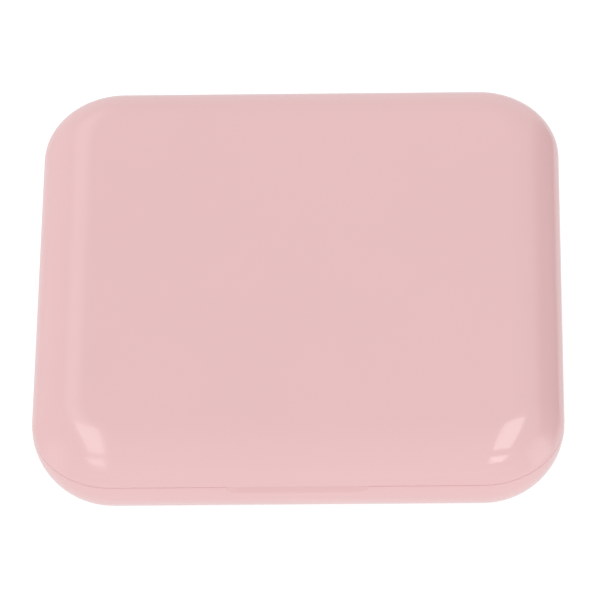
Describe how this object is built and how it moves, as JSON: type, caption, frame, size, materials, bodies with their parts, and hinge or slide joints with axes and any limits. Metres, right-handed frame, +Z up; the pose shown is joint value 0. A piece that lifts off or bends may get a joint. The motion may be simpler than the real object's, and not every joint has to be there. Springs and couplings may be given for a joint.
{
  "type": "contact lens case",
  "caption": "Rounded-square pocket travel case for contact lenses: hinged mirror lid over a tray with a twin-well lens case, solution bottle, tweezers and suction stick.",
  "frame": {"origin": "centre of the case's underside", "axes": "+X to the right with the thumb scoop facing the user, +Y towards the hinge, +Z up through the lid"},
  "size_m": [0.084, 0.081, 0.018],
  "materials": {
    "case_plastic": "pale pink glossy moulded plastic",
    "tray_plastic": "satin moulded tray in a paler pink",
    "mirror_glass": "silvered glass with a ground edge",
    "foam_tape": "white double-sided foam tape",
    "pin_steel": "drawn steel wire",
    "white_plastic": "white semi-gloss moulded plastic",
    "rose_plastic": "deeper rose semi-gloss moulded plastic",
    "silicone": "soft milky silicone",
    "bottle_plastic": "translucent blow-moulded plastic"
  },
  "bodies": {
    "base": {"base_shell": "case_plastic", "inner_tray": "tray_plastic", "hinge_pin_left": "pin_steel", "hinge_pin_right": "pin_steel", "lens_case_body": "white_plastic", "bottle_body": "bottle_plastic", "bottle_dropper_plug": "bottle_plastic", "stick_handle": "rose_plastic", "stick_suction_cup": "silicone"},
    "lid": {"lid_shell": "case_plastic", "mirror": "mirror_glass", "mirror_tape": "foam_tape"},
    "left_cap": {"well_cap_left": "rose_plastic", "cap_gasket_left": "silicone"},
    "right_cap": {"well_cap_right": "white_plastic", "cap_gasket_right": "silicone"},
    "bottle_screw_cap": {"bottle_cap": "rose_plastic"},
    "tweezers_front": {"tweezers_arm_front": "rose_plastic", "tweezers_pad_front": "silicone"},
    "tweezers_back": {"tweezers_arm_back": "rose_plastic", "tweezers_pad_back": "silicone"}
  },
  "joints": [
    {"name": "lid_hinge", "type": "hinge", "parent": "base", "child": "lid", "pos_m": [0, 0.0386, 0.0098], "axis": [-1, 0, 0], "range_deg": [0, 115]},
    {"name": "left_cap_turn", "type": "hinge", "parent": "base", "child": "left_cap", "pos_m": [-0.0145, -0.0195, 0.0063], "axis": [0, 0, 1], "range_deg": [0, 430]},
    {"name": "right_cap_turn", "type": "hinge", "parent": "base", "child": "right_cap", "pos_m": [0.0145, -0.0195, 0.0063], "axis": [0, 0, 1], "range_deg": [0, 430]},
    {"name": "bottle_cap_turn", "type": "hinge", "parent": "base", "child": "bottle_screw_cap", "pos_m": [0.0144, 0.0051, 0.0082], "axis": [1, 0, 0], "range_deg": [0, 540]},
    {"name": "tweezers_squeeze_front", "type": "hinge", "parent": "base", "child": "tweezers_front", "pos_m": [-0.024, 0.0211, 0.0074], "axis": [0, 0, 1], "range_deg": [0, 2.1], "stiffness_Nm_per_rad": 1.2},
    {"name": "tweezers_squeeze_back", "type": "hinge", "parent": "base", "child": "tweezers_back", "pos_m": [-0.024, 0.0211, 0.0074], "axis": [0, 0, -1], "range_deg": [0, 2.1], "stiffness_Nm_per_rad": 1.2}
  ],
  "couplings": [
    {"joint": "tweezers_squeeze_back", "follows": "tweezers_squeeze_front", "ratio": 1}
  ]
}
